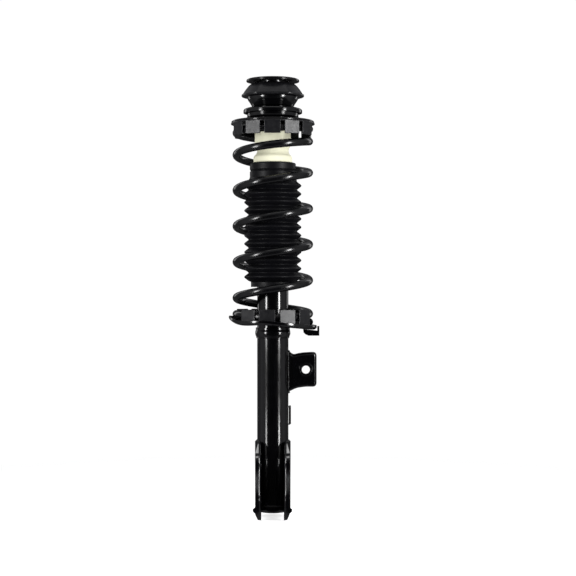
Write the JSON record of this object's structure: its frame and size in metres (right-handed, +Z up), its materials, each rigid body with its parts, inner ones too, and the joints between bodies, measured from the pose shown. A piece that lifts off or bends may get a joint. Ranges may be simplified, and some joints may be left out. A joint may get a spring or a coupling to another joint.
{
  "type": "suspension strut assembly",
  "caption": "Front suspension strut: damper with coil spring, rubber top mount on a turning bearing, knuckle clevis, link and hose brackets, tower cap and nut.",
  "frame": {"origin": "on the piston rod's axis, at the top mount's upper face, where it seats under the car body's tower sheet", "axes": "+Z up along the piston rod, -Y the side the knuckle clevis opens to, +X the side of the anti-roll bar link bracket"},
  "size_m": [0.1446, 0.14, 0.7021],
  "materials": {
    "gloss_black": "gloss black paint",
    "satin_black": "satin black powder coat",
    "rubber": "moulded rubber",
    "boot_rubber": "satin moulded rubber",
    "foam": "cream microcellular foam",
    "zinc": "zinc plated",
    "chrome": "ground and chromed",
    "steel": "bare steel",
    "iron": "sintered iron",
    "ptfe": "filled PTFE",
    "nylon": "natural nylon"
  },
  "bodies": {
    "top_mount": {"mount_rubber": "rubber", "mount_shell": "gloss_black", "mount_inner_sleeve": "zinc", "mount_washer": "zinc", "bearing_cover": "gloss_black", "bearing_upper_race": "steel", "piston_rod": "chrome", "rebound_stop": "rubber", "rebound_stop_ring": "steel", "check_stop_washer": "steel", "piston": "iron", "piston_band": "ptfe", "rebound_valve_disc": "steel", "piston_nut": "steel"},
    "spring_seat": {"upper_spring_seat": "gloss_black", "upper_isolator": "rubber", "bearing_lower_race": "steel", "coil_spring": "satin_black", "bump_stop": "foam", "dust_boot": "boot_rubber"},
    "tube": {"reserve_tube": "gloss_black", "tube_end_cap": "gloss_black", "pressure_tube": "steel", "base_valve_body": "iron", "base_valve_bolt": "steel", "rod_guide": "iron", "rod_guide_bush": "ptfe", "rod_seal": "rubber", "striker_cap": "steel", "lower_spring_seat": "gloss_black", "lower_isolator": "rubber", "seat_collar": "gloss_black", "clevis_bracket": "gloss_black", "link_bracket": "gloss_black", "hose_bracket": "gloss_black", "wire_bracket": "gloss_black"},
    "cage": {"bearing_cage": "nylon", "bearing_ball_1": "steel", "bearing_ball_2": "steel", "bearing_ball_3": "steel", "bearing_ball_4": "steel", "bearing_ball_5": "steel", "bearing_ball_6": "steel", "bearing_ball_7": "steel", "bearing_ball_8": "steel", "bearing_ball_9": "steel", "bearing_ball_10": "steel", "bearing_ball_11": "steel", "bearing_ball_12": "steel"},
    "nut": {"tower_nut": "zinc"},
    "cap": {"tower_cap": "satin_black", "cap_rubber": "rubber"},
    "piston_disc": {"piston_check_disc": "steel"},
    "base_disc": {"base_check_disc": "steel"}
  },
  "joints": [
    {"name": "steer_turn", "type": "hinge", "parent": "top_mount", "child": "spring_seat", "pos_m": [0, 0, -0.0486], "axis": [0, 0, 1], "range_deg": [-40, 40]},
    {"name": "strut_stroke", "type": "slide", "parent": "spring_seat", "child": "tube", "axis": [0, 0, 1], "range_m": [0, 0.15], "stiffness_N_per_m": 22000, "springref_m": -0.04, "deforming": ["coil_spring", "dust_boot"]},
    {"name": "cage_turn", "type": "hinge", "parent": "top_mount", "child": "cage", "pos_m": [0, 0, -0.0486], "axis": [0, 0, 1], "range_deg": [-20, 20]},
    {"name": "cap_lift", "type": "slide", "parent": "top_mount", "child": "cap", "axis": [0, 0, 1], "range_m": [0, 0.04]},
    {"name": "nut_lift", "type": "slide", "parent": "top_mount", "child": "nut", "axis": [0, 0, 1], "range_m": [0, 0.08]},
    {"name": "piston_disc_lift", "type": "slide", "parent": "top_mount", "child": "piston_disc", "axis": [0, 0, 1], "range_m": [0, 0.0008], "stiffness_N_per_m": 150},
    {"name": "base_disc_lift", "type": "slide", "parent": "tube", "child": "base_disc", "axis": [0, 0, 1], "range_m": [0, 0.001], "stiffness_N_per_m": 150}
  ],
  "couplings": [
    {"joint": "cage_turn", "follows": "steer_turn", "ratio": 0.5},
    {"joint": "nut_lift", "follows": "cap_lift", "ratio": 2}
  ]
}
